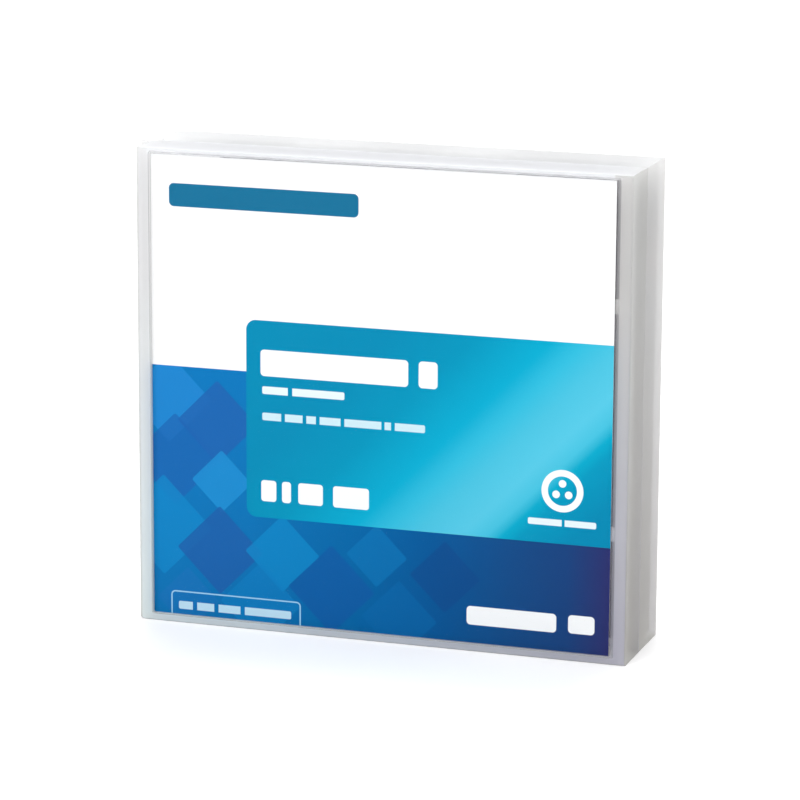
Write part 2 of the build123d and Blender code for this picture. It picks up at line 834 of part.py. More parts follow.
# Upper shell of the cartridge
upper_base = shell_split + shell_split_gap
with BuildPart() as upper_shell:
    with BuildSketch(cartridge_plane(upper_base)):
        RectangleRounded(cartridge_length, cartridge_width, cartridge_corner)
    extrude(amount=cartridge_thickness - upper_base)
    fillet(faces().sort_by(Axis.Y)[0].edges(), cartridge_edge_radius)
    with BuildSketch(cartridge_plane(upper_base - overrun)):
        RectangleRounded(2 * front_inner, 2 * side_inner, cartridge_corner - shell_side)
    extrude(amount=ceiling - upper_base + overrun, mode=Mode.SUBTRACT)

    # Reel chamber walls and screw bosses
    with BuildSketch(reel_plane(upper_base)):
        for start in chamber_starts:
            ring_sector(chamber_radius, chamber_radius + chamber_wall, start, chamber_sweep)
    extrude(amount=ceiling - upper_base)
    with BuildSketch(cartridge_plane(upper_base)):
        with Locations(*screw_places):
            Circle(boss_radius)
            Circle(screw_shank_radius + screw_clearance, mode=Mode.SUBTRACT)
    extrude(amount=ceiling - upper_base)

    # Key that keeps the brake from turning, and the ring round its spring
    with BuildSketch(reel_plane(key_tip)):
        Rectangle(brake_key_length - 2 * key_clearance, brake_key_width - 2 * key_clearance)
        Rectangle(brake_key_width - 2 * key_clearance, brake_key_length - 2 * key_clearance)
    extrude(amount=ceiling - key_tip)
    ring_inner = brake_spring_radius + brake_spring_wire / 2 + spring_ring_gap
    with BuildSketch(reel_plane(ceiling - spring_ring_height)):
        Circle(ring_inner + spring_ring_wall)
        Circle(ring_inner, mode=Mode.SUBTRACT)
    extrude(amount=spring_ring_height)

    # Seat and spring post of the leader pin
    seat_top = pin_top + pin_end_gap
    with BuildSketch(pin_plane(seat_top)):
        Circle(pin_seat_radius + pin_seat_wall)
    extrude(amount=ceiling - seat_top)
    with BuildSketch(pin_plane(seat_top - pin_seat_height)):
        ring_sector(
            pin_seat_radius,
            pin_seat_radius + pin_seat_wall,
            90.0 + pin_seat_opening / 2,
            360.0 - pin_seat_opening,
        )
    extrude(amount=pin_seat_height)
    post_tip = tape_top + pin_tape_gap
    with BuildSketch(pin_plane(post_tip)):
        with Locations((0, -pin_spring_post)):
            Circle(pin_post_radius)
    extrude(amount=ceiling - post_tip)

    # Door opening and groove
    cartridge_box(
        (-half_length + door_opening_inset, side_inner - overrun, upper_base - overrun),
        (
            -half_length + door_opening_inset + door_opening,
            half_width + overrun,
            cartridge_thickness - side_opening_base,
        ),
        mode=Mode.SUBTRACT,
    )
    cartridge_box(
        (door_left - door_groove_gap, door_inner - door_groove_gap, ceiling - overrun / 2),
        (
            door_right + door_travel + door_groove_gap,
            door_outer + door_groove_gap,
            ceiling + door_groove,
        ),
        mode=Mode.SUBTRACT,
    )

    # Arrow towards the edge that enters the drive
    with BuildSketch(cartridge_plane(cartridge_thickness - arrow_depth)):
        with Locations((arrow_front_inset - half_length, 0)):
            RegularPolygon(arrow_radius, 3, rotation=180)
    extrude(amount=arrow_depth, mode=Mode.SUBTRACT)

    # Grip grooves and the label's recess
    for place in range(grip_count):
        groove_u = half_length - grip_from_rear - place * grip_pitch
        for low_v in (-half_width - overrun, half_width - grip_depth):
            cartridge_box(
                (groove_u - grip_groove / 2, low_v, upper_base - overrun),
                (
                    groove_u + grip_groove / 2,
                    low_v + overrun + grip_depth,
                    cartridge_thickness - side_opening_base,
                ),
                mode=Mode.SUBTRACT,
            )
    cartridge_box(
        (half_length - label_inset, -label_width / 2, upper_base - overrun),
        (
            half_length + overrun,
            label_width / 2,
            cartridge_thickness - label_margin,
        ),
        mode=Mode.SUBTRACT,
    )

write_piece(upper_shell, "upper_shell")


# Four screws, from the underside
with BuildPart() as shell_screws:
    with BuildSketch(cartridge_plane(screw_head_base)):
        with Locations(*screw_places):
            Circle(screw_head_radius)
    extrude(amount=screw_head_height)
    with BuildSketch(cartridge_plane(screw_head_top)):
        with Locations(*screw_places):
            Circle(screw_shank_radius)
    extrude(amount=screw_length)
    with BuildSketch(cartridge_plane(screw_head_base)):
        with Locations(*screw_places):
            RegularPolygon(socket_radius, 6)
    extrude(amount=socket_depth, mode=Mode.SUBTRACT)

write_piece(shell_screws, "shell_screws")


# Reel hub and lower flange, one moulding turned from its section
rim_radius = hub_bore_radius + hub_rim_wall
boss_inner = plate_inner_radius - plate_clearance
recess_radius = plate_outer_radius + plate_clearance
rim_top = upper_flange_base + flange_thickness - weld_sink
with BuildPart() as reel_hub:
    with BuildSketch(section_plane()):
        with BuildLine():
            Polyline(
                (0, reel_lift),
                (boss_inner, reel_lift),
                (boss_inner, hub_floor_base),
                (recess_radius, hub_floor_base),
                (recess_radius, reel_lift),
                (flange_radius, reel_lift),
                (flange_radius, flange_top),
                (hub_radius, flange_top),
                (hub_radius, upper_flange_base),
                (rim_radius, upper_flange_base),
                (rim_radius, rim_top),
                (hub_bore_radius, rim_top),
                (hub_bore_radius, hub_floor_top),
                (0, hub_floor_top),
                close=True,
            )
        make_face()
    revolve(axis=reel_axis)

    # Three raised arcs that carry the brake gear, with slots for the pad's legs between them
    with BuildSketch(reel_plane(hub_floor_top)):
        for middle in pedestal_angles:
            ring_sector(
                gear_inner_radius,
                gear_outer_radius,
                middle - pedestal_sweep / 2,
                pedestal_sweep,
            )
    extrude(amount=pedestal_height)
    leg_slot = pad_leg_size + 2 * pad_leg_clearance
    with BuildSketch(reel_plane(0)):
        with PolarLocations(pad_leg_radius, len(leg_angles), start_angle=leg_angles[0]):
            Rectangle(leg_slot, leg_slot)
    extrude(amount=hub_floor_top, mode=Mode.SUBTRACT)

    # Drive teeth under the hub, left out at the slots, and brake teeth on the raised arcs
    all_angles = [tooth_pitch * i for i in range(tooth_count)]
    drive_angles = [
        a for a in all_angles if min(abs(a - leg) for leg in leg_angles) >= leg_tooth_margin
    ]
    pedestal_reach = (pedestal_sweep - tooth_pitch) / 2
    brake_angles = [
        a
        for a in all_angles
        if min(abs((a - m + 180.0) % 360.0 - 180.0) for m in pedestal_angles) <= pedestal_reach
    ]
    ring_of_teeth(reel_lift, -tooth_height, drive_angles)
    ring_of_teeth(pedestal_top, tooth_height, brake_angles)

write_piece(reel_hub, "reel_hub")


# Upper flange of the reel
with BuildPart() as reel_upper_flange:
    with BuildSketch(reel_plane(upper_flange_base)):
        Circle(flange_radius)
        Circle(rim_radius + weld_clearance, mode=Mode.SUBTRACT)
    extrude(amount=flange_thickness)

write_piece(reel_upper_flange, "reel_upper_flange")


# Steel plate in the hub's underside
with BuildPart() as clutch_plate:
    with BuildSketch(reel_plane(reel_lift)):
        Circle(plate_outer_radius)
        Circle(plate_inner_radius, mode=Mode.SUBTRACT)
    extrude(amount=plate_thickness - plate_clearance)

write_piece(clutch_plate, "clutch_plate")


# Wound tape
with BuildPart() as tape_pack:
    with BuildSketch(reel_plane(tape_base)):
        Circle(tape_radius)
        Circle(hub_radius + weld_clearance, mode=Mode.SUBTRACT)
    extrude(amount=tape_width)

write_piece(tape_pack, "tape_pack")


# Leader tape, tangent to the pack and drawn to the pin
exit_radius = tape_radius + tape_exit_gap + tape_thickness / 2
pin_from_reel = (pin_u - reel_offset, pin_v)
pin_distance = math.hypot(*pin_from_reel)
pin_bearing = math.atan2(pin_from_reel[1], pin_from_reel[0])
exit_bearing = pin_bearing + math.acos(exit_radius / pin_distance)
exit_point = (
    exit_radius * math.cos(exit_bearing) - pin_from_reel[0],
    exit_radius * math.sin(exit_bearing) - pin_from_reel[1],
)
leader_run = math.hypot(*exit_point)
leader_angle = math.degrees(math.atan2(exit_point[1], exit_point[0]))
leader_start = pin_radius + pin_tape_gap
leader_length = leader_run - leader_start
with BuildPart() as leader_tape:
    with BuildSketch(pin_plane(tape_base)):
        with PolarLocations(leader_start + leader_length / 2, 1, start_angle=leader_angle):
            Rectangle(leader_length, tape_thickness)
    extrude(amount=tape_width)

write_piece(leader_tape, "leader_tape")


# Leader pin, turned: a shaft between two flanges, with a neck and a head at each end
with BuildPart() as leader_pin:
    for level, radius, height in (
        (pin_base, pin_head_radius, pin_head_thickness),
        (pin_base + pin_head_thickness, pin_neck_radius, pin_neck_length),
        (pin_flange_top - pin_flange_thickness, pin_flange_radius, pin_flange_thickness),
        (pin_flange_top, pin_radius, tape_width + 2 * pin_tape_gap),
        (tape_top + pin_tape_gap, pin_flange_radius, pin_flange_thickness),
        (tape_top + pin_tape_gap + pin_flange_thickness, pin_neck_radius, pin_neck_length),
        (pin_top - pin_head_thickness, pin_head_radius, pin_head_thickness),
    ):
        with BuildSketch(pin_plane(level)):
            Circle(radius)
        extrude(amount=height)

write_piece(leader_pin, "leader_pin")


# Clamp that holds the tape's end on the pin
clamp_inner = pin_radius + clamp_gap
with BuildPart() as tape_clamp:
    with BuildSketch(pin_plane(tape_base + clamp_end_gap)):
        ring_sector(
            clamp_inner,
            clamp_inner + clamp_wall,
            leader_angle + clamp_opening / 2,
            360.0 - clamp_opening,
        )
    extrude(amount=tape_width - 2 * clamp_end_gap)

write_piece(tape_clamp, "tape_clamp")


# Wire springs that hold the pin's necks, each bent round its post
with BuildPart() as pin_springs:
    bend_radius = pin_post_radius + pin_spring_gap + pin_spring_wire / 2
    for level in (
        pin_base + pin_head_thickness + pin_neck_length / 2,
        pin_top - pin_head_thickness - pin_neck_length / 2,
    ):
        with BuildLine(pin_plane(level)) as wire:
            Line((-bend_radius, pin_spring_reach), (-bend_radius, -pin_spring_post))
            CenterArc((0, -pin_spring_post), bend_radius, 180.0, 180.0)
            Line((bend_radius, -pin_spring_post), (bend_radius, pin_spring_reach))
        with BuildSketch(Plane(origin=wire.line @ 0, z_dir=wire.line % 0)):
            Circle(pin_spring_wire / 2)
        sweep(path=wire.line)

write_piece(pin_springs, "pin_springs")


# Brake button: toothed disc, nose towards the pad, and a stem with a crossed keyway
with BuildPart() as brake_button:
    with BuildSketch(reel_plane(brake_base)):
        Circle(brake_disc_radius)
    extrude(amount=brake_disc_thickness)
    nose_base = pad_top + brake_nose_gap
    with BuildSketch(reel_plane(nose_base)):
        Circle(brake_nose_radius)
    extrude(amount=brake_base - nose_base)
    with BuildSketch(reel_plane(brake_top)):
        Circle(brake_stem_radius)
    extrude(amount=stem_top - brake_top)
    with BuildSketch(reel_plane(keyway_base)):
        Rectangle(brake_key_length, brake_key_width)
        Rectangle(brake_key_width, brake_key_length)
    extrude(amount=brake_key_depth, mode=Mode.SUBTRACT)
    ring_of_teeth(brake_base, -tooth_height, [tooth_pitch * (i + 0.5) for i in range(tooth_count)])

write_piece(brake_button, "brake_button")


# Coil spring over the brake
spring_low = brake_top + spring_seat_gap + brake_spring_wire / 2
spring_high = ceiling - spring_seat_gap - brake_spring_wire / 2
with BuildPart() as brake_spring:
    with BuildLine() as coil:
        Helix(
            pitch=(spring_high - spring_low) / brake_spring_turns,
            height=spring_high - spring_low,
            radius=brake_spring_radius,
            center=reel_plane(spring_low).origin,
            direction=reel_plane(spring_low).z_dir,
        )
    with BuildSketch(Plane(origin=coil.line @ 0, z_dir=coil.line % 0)):
        Circle(brake_spring_wire / 2)
    sweep(path=coil.line, is_frenet=True)

write_piece(brake_spring, "brake_spring")


# Release pad: a triangle on the hub's floor with three legs through it
with BuildPart() as release_pad:
    with BuildSketch(reel_plane(pad_base)):
        RegularPolygon(pad_triangle_radius, 3, rotation=leg_angles[0])
        Circle(pad_leg_radius + pad_leg_size / 2, mode=Mode.INTERSECT)
    extrude(amount=pad_thickness)
    with BuildSketch(reel_plane(reel_lift)):
        with PolarLocations(pad_leg_radius, len(leg_angles), start_angle=leg_angles[0]):
            Rectangle(pad_leg_size, pad_leg_size)
    extrude(amount=pad_base - reel_lift)

write_piece(release_pad, "release_pad")


# Sliding access door, with a lug for its spring and a shallow grip in its face
with BuildPart() as access_door:
    cartridge_box((door_left, door_inner, door_base), (door_right, door_outer, door_top))
    cartridge_box(
        (door_right - door_lug_length, lug_inner, spring_level - door_lug_height / 2),
        (door_right, door_outer, spring_level + door_lug_height / 2),
    )
    grip_u = -half_length + door_opening_inset + door_opening / 2
    with BuildSketch(
        Plane(
            origin=(
                cartridge_x + grip_u,
                cartridge_bottom - spring_level,
                cartridge_z + door_outer - door_recess_depth,
            ),
            x_dir=(1, 0, 0),
            z_dir=(0, 0, 1),
        )
    ):
        SlotCenterToCenter(2 * door_recess_radius, 2 * door_recess_radius, rotation=90)
    extrude(amount=door_recess_depth, mode=Mode.SUBTRACT)

write_piece(access_door, "access_door")


# Coil spring that shuts the door
coil_start = door_right + spring_seat_gap + door_spring_wire / 2
coil_length = door_spring_length - door_spring_wire
with BuildPart() as door_spring:
    with BuildLine() as coil:
        Helix(
            pitch=coil_length / door_spring_turns,
            height=coil_length,
            radius=door_spring_radius,
            center=(
                cartridge_x + coil_start,
                cartridge_bottom - spring_level,
                cartridge_z + spring_v,
            ),
            direction=(1, 0, 0),
        )
    with BuildSketch(Plane(origin=coil.line @ 0, z_dir=coil.line % 0)):
        Circle(door_spring_wire / 2)
    sweep(path=coil.line, is_frenet=True)

write_piece(door_spring, "door_spring")


# Write-protect tab: a body behind the rear wall with a knob in the window
with BuildPart() as write_protect_tab:
    knob_base = protect_window_base + protect_gap
    knob_top = protect_window_base + protect_window_height - protect_gap
    cartridge_box(
        (
            front_inner - protect_gap - protect_body_depth,
            protect_body_low,
            shell_floor + protect_gap,
        ),
        (
            front_inner - protect_gap,
            protect_body_low + protect_body_width,
            knob_top + protect_body_margin,
        ),
    )
    cartridge_box(
        (front_inner - protect_gap, protect_body_low + protect_body_margin, knob_base),
        (
            half_length - protect_knob_inset,
            protect_body_low + protect_body_margin + protect_knob_width,
            knob_top,
        ),
    )

write_piece(write_protect_tab, "write_protect_tab")


# Memory chip, tilted between the floor and the front wall
with BuildPart() as memory_chip:
    with BuildSketch(
        Plane(
            origin=(cartridge_x, cartridge_bottom, cartridge_z + chip_low_v),
            x_dir=(1, 0, 0),
            z_dir=(0, 0, 1),
        )
    ):
        with Locations(Location((chip_lower_u, -chip_lower_level), 180.0 + chip_tilt)):
            Rectangle(chip_width, chip_thickness, align=(Align.MIN, Align.MIN))
    extrude(amount=chip_length)

write_piece(memory_chip, "memory_chip")
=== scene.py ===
import math

import bpy
import numpy as np
from mathutils import Matrix, Vector


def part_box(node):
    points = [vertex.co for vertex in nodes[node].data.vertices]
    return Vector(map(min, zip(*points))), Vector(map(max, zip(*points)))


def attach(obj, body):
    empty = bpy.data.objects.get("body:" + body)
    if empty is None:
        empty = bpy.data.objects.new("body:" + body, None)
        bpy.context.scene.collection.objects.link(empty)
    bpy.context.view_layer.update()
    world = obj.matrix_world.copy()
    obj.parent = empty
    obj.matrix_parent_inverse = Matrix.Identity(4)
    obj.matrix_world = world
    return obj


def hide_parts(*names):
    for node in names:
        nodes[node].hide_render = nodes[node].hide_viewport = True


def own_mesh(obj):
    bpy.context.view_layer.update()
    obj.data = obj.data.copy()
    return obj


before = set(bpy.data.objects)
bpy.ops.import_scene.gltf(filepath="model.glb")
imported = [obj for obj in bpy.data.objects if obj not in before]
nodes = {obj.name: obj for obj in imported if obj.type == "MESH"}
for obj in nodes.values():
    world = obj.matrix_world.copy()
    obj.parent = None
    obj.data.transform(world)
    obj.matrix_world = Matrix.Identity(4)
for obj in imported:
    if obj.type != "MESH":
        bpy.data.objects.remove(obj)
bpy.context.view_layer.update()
print("frame loaded:", len(nodes), "nodes")


# camera, lamps and floor, in metres and degrees
camera = {
    "target": (0.0015, 0.0, 0.056),   # middle of the shut case
    "azimuth": 18.48,                 # to the right of straight on
    "elevation": 12.55,
    "roll": 0.30,
    "distance": 0.869,
    "lens": 169.6, "sensor": 36,      # mm
    "shift": (0.003, -0.0095),
}
studio = {
    "worldStrength": 0.50,            # for bounced light; the background itself shows white
    "lamps": {                        # place, size, power
        "keyLamp": ((-0.45, -1.15, 1.10), 0.9, 13.5),
        "sideLamp": ((1.3, 0.25, 0.75), 0.8, 3.4),
        "backLamp": ((-0.1, 0.7, 1.5), 0.9, 18.0),
    },
    "floorHalf": 6.0,
    "floorColour": "#e9e9ea",
    "floorGlow": (0.30, 0.62),        # lifts the floor to white where it is seen, near and far
    "floorReach": (0.5, 3.0),         # how far from the case those two are
}


def linearColour(hexText):
    # sRGB hex to the linear values that shaders take
    parts = [int(hexText[i:i + 2], 16) / 255 for i in (1, 3, 5)]
    linear = [part / 12.92 if part <= 0.04045 else ((part + 0.055) / 1.055) ** 2.4 for part in parts]
    return (*linear, 1.0)


def addNode(tree, kind, settings=None, links=None):
    # settings: properties or input values by name or number; links: sockets that feed its inputs
    node = tree.nodes.new(kind)
    for key, value in (settings or {}).items():
        if isinstance(key, str) and hasattr(node, key):
            setattr(node, key, value)
        else:
            node.inputs[key].default_value = value
    for key, socket in (links or {}).items():
        tree.links.new(socket, node.inputs[key])
    return node


def newMaterial(name):
    material = bpy.data.materials.new(name)
    material.use_nodes = True
    material.node_tree.nodes.clear()
    return material, material.node_tree


def finishMaterial(tree, surface):
    addNode(tree, "ShaderNodeOutputMaterial", links={"Surface": surface})


def seenDirectly(tree):
    # 1 for the rays that show the background: straight from the camera, in gloss and through glass
    path = addNode(tree, "ShaderNodeLightPath")
    direct = addNode(tree, "ShaderNodeMath", {"operation": "MAXIMUM"},
                     {0: path.outputs["Is Camera Ray"], 1: path.outputs["Is Transmission Ray"]})
    return addNode(tree, "ShaderNodeMath", {"operation": "MAXIMUM"},
                   {0: direct.outputs[0], 1: path.outputs["Is Glossy Ray"]}).outputs[0]


def placeCamera():
    azimuth, elevation, roll = (math.radians(camera[key]) for key in ("azimuth", "elevation", "roll"))
    back = Vector((math.sin(azimuth) * math.cos(elevation), -math.cos(azimuth) * math.cos(elevation),
                   math.sin(elevation)))
    right = Vector((math.cos(azimuth), math.sin(azimuth), 0))
    up = back.cross(right)
    rolledRight = math.cos(roll) * right + math.sin(roll) * up
    rolledUp = math.cos(roll) * up - math.sin(roll) * right
    data = bpy.data.cameras.new("photoCamera")
    data.lens = camera["lens"]
    data.sensor_width = camera["sensor"]
    data.shift_x, data.shift_y = camera["shift"]
    seen = bpy.data.objects.new("photoCamera", data)
    turn = Matrix((rolledRight, rolledUp, back)).transposed().to_4x4()
    turn.translation = Vector(camera["target"]) + back * camera["distance"]
    seen.matrix_world = turn
    bpy.context.scene.collection.objects.link(seen)
    bpy.context.scene.camera = seen


def makeWorld():
    world = bpy.data.worlds.new("studioWorld")
    bpy.context.scene.world = world
    world.use_nodes = True
    tree = world.node_tree
    tree.nodes.clear()
    strength = addNode(tree, "ShaderNodeMapRange", {"To Min": studio["worldStrength"], "To Max": 1.0},
                       {"Value": seenDirectly(tree)})
    light = addNode(tree, "ShaderNodeBackground", {"Color": linearColour("#ffffff")},
                    {"Strength": strength.outputs[0]})
    addNode(tree, "ShaderNodeOutputWorld", links={"Surface": light.outputs[0]})


def addLamp(name, place, size, power):
    data = bpy.data.lights.new(name, "AREA")
    data.size = size
    data.energy = power
    lamp = bpy.data.objects.new(name, data)
    lamp.location = place
    aim = Vector(camera["target"]) - Vector(place)
    lamp.rotation_euler = aim.to_track_quat("-Z", "Y").to_euler()
    bpy.context.scene.collection.objects.link(lamp)


def makeFloor():
    # a sweep of paper, lit and also glowing a little where it is seen, so that it fades to white
    half = studio["floorHalf"]
    corners = [(-half, -half, 0), (half, -half, 0), (half, half, 0), (-half, half, 0)]
    mesh = bpy.data.meshes.new("studioFloor")
    mesh.from_pydata(corners, [], [(0, 1, 2, 3)])
    floor = bpy.data.objects.new("studioFloor", mesh)
    bpy.context.scene.collection.objects.link(floor)
    material, tree = newMaterial("paperSweep")
    paper = addNode(tree, "ShaderNodeBsdfDiffuse", {"Color": linearColour(studio["floorColour"])})
    place = addNode(tree, "ShaderNodeTexCoord")
    away = addNode(tree, "ShaderNodeVectorMath", {"operation": "LENGTH"}, {0: place.outputs["Object"]})
    near, far = studio["floorReach"]
    low, high = studio["floorGlow"]
    lift = addNode(tree, "ShaderNodeMapRange",
                   {"From Min": near, "From Max": far, "To Min": low, "To Max": high},
                   {"Value": away.outputs["Value"]})
    glowing = addNode(tree, "ShaderNodeMath", {"operation": "MULTIPLY"},
                      {0: seenDirectly(tree), 1: lift.outputs[0]})
    glow = addNode(tree, "ShaderNodeEmission", {"Color": linearColour("#ffffff")},
                   {"Strength": glowing.outputs[0]})
    both = addNode(tree, "ShaderNodeAddShader", links={0: paper.outputs[0], 1: glow.outputs[0]})
    finishMaterial(tree, both.outputs[0])
    mesh.materials.append(material)


placeCamera()
makeWorld()
for lampName, lampLook in studio["lamps"].items():
    addLamp(lampName, *lampLook)
makeFloor()
bpy.context.scene.view_settings.view_transform = "Standard"
print("camera, lamps and floor placed")


# places that the patterns need, read from the solids; patterns are measured in millimetres
perMetre = 1000
cardLow, cardHigh = (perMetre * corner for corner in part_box("cover_card"))
hubLow, hubHigh = (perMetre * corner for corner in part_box("reel_hub"))
shellLow, shellHigh = (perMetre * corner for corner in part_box("upper_shell"))
frameOrigin = (0, 0, 0)
reelCentre = ((hubLow.x + hubHigh.x) / 2, 0, (hubLow.z + hubHigh.z) / 2)
noLimit = 1e6     # for the direction that a flat shape ignores
printSoft = 0.04  # half the width over which an edge fades


def dress(name, material):
    node = nodes[name]
    node.data.materials.clear()
    node.data.materials.append(material)


def millimetres(tree, origin):
    # the object's own coordinates in millimetres, from a point of the frame
    place = addNode(tree, "ShaderNodeTexCoord")
    shift = tuple(-part for part in origin)
    return addNode(tree, "ShaderNodeMapping",
                   {"vector_type": "POINT", "Location": shift, "Scale": (perMetre, perMetre, perMetre)},
                   {"Vector": place.outputs["Object"]}).outputs[0]


def within(tree, distance, radius, soft=printSoft):
    # 1 where the distance is under the radius, 0 past it
    return addNode(tree, "ShaderNodeMapRange", {"From Min": radius + soft, "From Max": radius - soft},
                   {"Value": distance}).outputs[0]


def roundedField(tree, point, low, high, radius, soft=printSoft):
    # 1 inside a rounded rectangle of the x z plane, from the distance to its inner core
    centre = tuple((a + b) / 2 for a, b in zip(low, high))
    core = tuple(abs(b - a) / 2 - radius for a, b in zip(low, high))
    away = addNode(tree, "ShaderNodeVectorMath", {"operation": "SUBTRACT", 1: (centre[0], 0, centre[1])},
                   {0: point})
    folded = addNode(tree, "ShaderNodeVectorMath", {"operation": "ABSOLUTE"}, {0: away.outputs[0]})
    past = addNode(tree, "ShaderNodeVectorMath", {"operation": "SUBTRACT", 1: (core[0], noLimit, core[1])},
                   {0: folded.outputs[0]})
    outside = addNode(tree, "ShaderNodeVectorMath", {"operation": "MAXIMUM", 1: (0, 0, 0)},
                      {0: past.outputs[0]})
    length = addNode(tree, "ShaderNodeVectorMath", {"operation": "LENGTH"}, {0: outside.outputs[0]})
    return within(tree, length.outputs["Value"], radius, soft)


def turnedSquare(tree, point, centre, side, degrees, radius):
    # a square field, turned about its own centre
    turn = {"rotation_type": "Y_AXIS", "Center": (centre[0], 0, centre[1]), "Angle": math.radians(degrees)}
    turned = addNode(tree, "ShaderNodeVectorRotate", turn, {"Vector": point}).outputs[0]
    low = tuple(middle - side / 2 for middle in centre)
    high = tuple(middle + side / 2 for middle in centre)
    return roundedField(tree, turned, low, high, radius)


def overlay(tree, under, over, mask, share=1.0):
    # lays one colour over another where the mask is 1; each is a hex text or a socket
    part = mask
    if share < 1:
        part = addNode(tree, "ShaderNodeMath", {"operation": "MULTIPLY", 1: share}, {0: mask}).outputs[0]
    mix = addNode(tree, "ShaderNodeMix", {"data_type": "RGBA"})
    tree.links.new(part, mix.inputs["Factor"])
    for socket, value in ((mix.inputs[6], under), (mix.inputs[7], over)):  # its two colour inputs
        if isinstance(value, str):
            socket.default_value = linearColour(value)
        else:
            tree.links.new(value, socket)
    return mix.outputs[2]


def blendRamp(tree, value, low, high, stops):
    # a colour gradient over a value's range; stops are (place, hex)
    spread = addNode(tree, "ShaderNodeMapRange", {"From Min": low, "From Max": high}, {"Value": value})
    ramp = addNode(tree, "ShaderNodeValToRGB", links={"Fac": spread.outputs[0]})
    points = ramp.color_ramp.elements
    while len(points) < len(stops):
        points.new(0.5)  # anywhere: the places are set below
    for point, (place, colour) in zip(points, stops):
        point.position = place
        point.color = linearColour(colour)
    return ramp.outputs["Color"]


# printed card: fields of colour and plain shapes, in millimetres from its lower left corner
card = {
    "white": "#fdfdfe", "back": "#f4f4f2",
    "lowerField": (-5, -7, 117, 59.6), "lowerRadius": 0.1,   # left, below, right, above
    "lowerStops": [   # from the card's left edge to its right
        (0.0, "#0b76b8"), (0.22, "#0a74b6"), (0.45, "#0268a8"), (0.62, "#045a9b"),
        (0.80, "#154c88"), (0.91, "#1b447f"), (1.0, "#2f336d"),
    ],
    "lowerShade": (0.93, 1.04), "lowerHeight": 60,   # from its foot to this height
    "panel": (23.7, 25.3, 120, 71.8), "panelRadius": 2.4,
    "panelStops": [   # along the falling diagonal: a soft rise to light blue, then a quick fall
        (0.0, "#038bb4"), (0.22, "#0195bb"), (0.42, "#05acd0"), (0.51, "#34bddc"), (0.60, "#4cc3df"),
        (0.71, "#58c9e4"), (0.775, "#48c2de"), (0.815, "#05aacb"), (0.86, "#0399be"), (1.0, "#028ab3"),
    ],
    "panelReach": (-12, 76),
    "tileTurn": 45, "tileRadius": 0.5,
    "tiles": [   # centre, side, colour, how strongly it covers
        ((4.5, 52.0), 15.0, "#2387cf", 0.75),
        ((16.5, 47.0), 14.0, "#1f62ad", 0.85),
        ((6.0, 37.5), 15.5, "#1c60ac", 0.70),
        ((17.5, 33.0), 10.5, "#1f8dce", 0.85),
        ((3.0, 21.5), 17.0, "#0f86c5", 0.75),
        ((17.0, 16.5), 15.0, "#1d5fa8", 0.85),
        ((32.5, 17.0), 13.0, "#0d8ac8", 0.70),
        ((9.0, 4.0), 11.0, "#1a72b8", 0.60),
        ((27.0, 4.5), 14.0, "#0d7fc0", 0.60),
        ((44.5, 9.5), 15.0, "#1059a2", 0.70),
        ((55.5, 18.5), 10.5, "#0b78b8", 0.60),
        ((61.0, 4.0), 13.0, "#0869ab", 0.55),
        ((72.0, 15.0), 12.0, "#0f4788", 0.55),
    ],
    "bars": [   # where print stood: low corner, high corner, radius, colour, gaps between its blocks
        ((4.9, 97.0), (50.9, 102.4), 1.2, "#1b7198", ()),
        ((27.2, 58.8), (62.9, 65.0), 0.9, "#fbfdfe", ()),
        ((65.4, 58.8), (69.9, 65.0), 0.9, "#fbfdfe", ()),
        ((27.6, 54.6), (47.6, 56.4), 0.4, "#e8f5fa", ((33.8, 34.9),)),
        ((27.6, 48.4), (67.0, 50.2), 0.4, "#cfeaf3",
         ((32.2, 33.1), (37.4, 38.3), (40.6, 41.5), (46.6, 47.6), (56.4, 57.3), (58.8, 59.7))),
        ((27.3, 29.2), (31.0, 34.2), 0.7, "#fbfdfe", ()),
        ((32.4, 29.2), (34.6, 34.2), 0.7, "#fbfdfe", ()),
        ((36.4, 29.2), (42.4, 34.2), 0.7, "#fbfdfe", ()),
        ((44.9, 29.2), (53.6, 34.2), 0.7, "#fbfdfe", ()),
        ((91.6, 29.4), (107.6, 30.9), 0.4, "#e8f5fa", ((99.5, 100.2),)),
        ((77.3, 4.4), (98.6, 8.8), 0.9, "#fbfdfe", ()),
        ((101.4, 4.6), (107.6, 8.9), 0.9, "#fbfdfe", ()),
        ((6.6, 1.4), (34.6, 3.3), 0.4, "#bfe1f3", ((10.0, 11.1), (15.4, 16.5), (22.0, 23.1))),
    ],
    "outline": (4.7, -6.0, 37.0, 5.8), "outlineRadius": 1.1,
    "outlineWidth": 0.32, "outlineColour": "#9fd0ec",
    "ringCentre": (99.6, 37.6), "ringRadii": (4.9, 3.4), "ringColour": "#fbfdfe",
    "ringDots": 3, "dotRadius": 0.88, "dotPlace": 0.5,   # the last as a share of the inner radius
    "printDepth": 0.05,                       # ink goes no deeper than this
    "fibreScale": 2.2, "fibreDepth": 0.02,    # per mm, so fibres of about 0.45 mm
    "fibreBump": 0.10, "rough": (0.38, 0.50),
    "index": 1.5, "specular": 0.05,           # low, because the window in front of it has its own shine
}


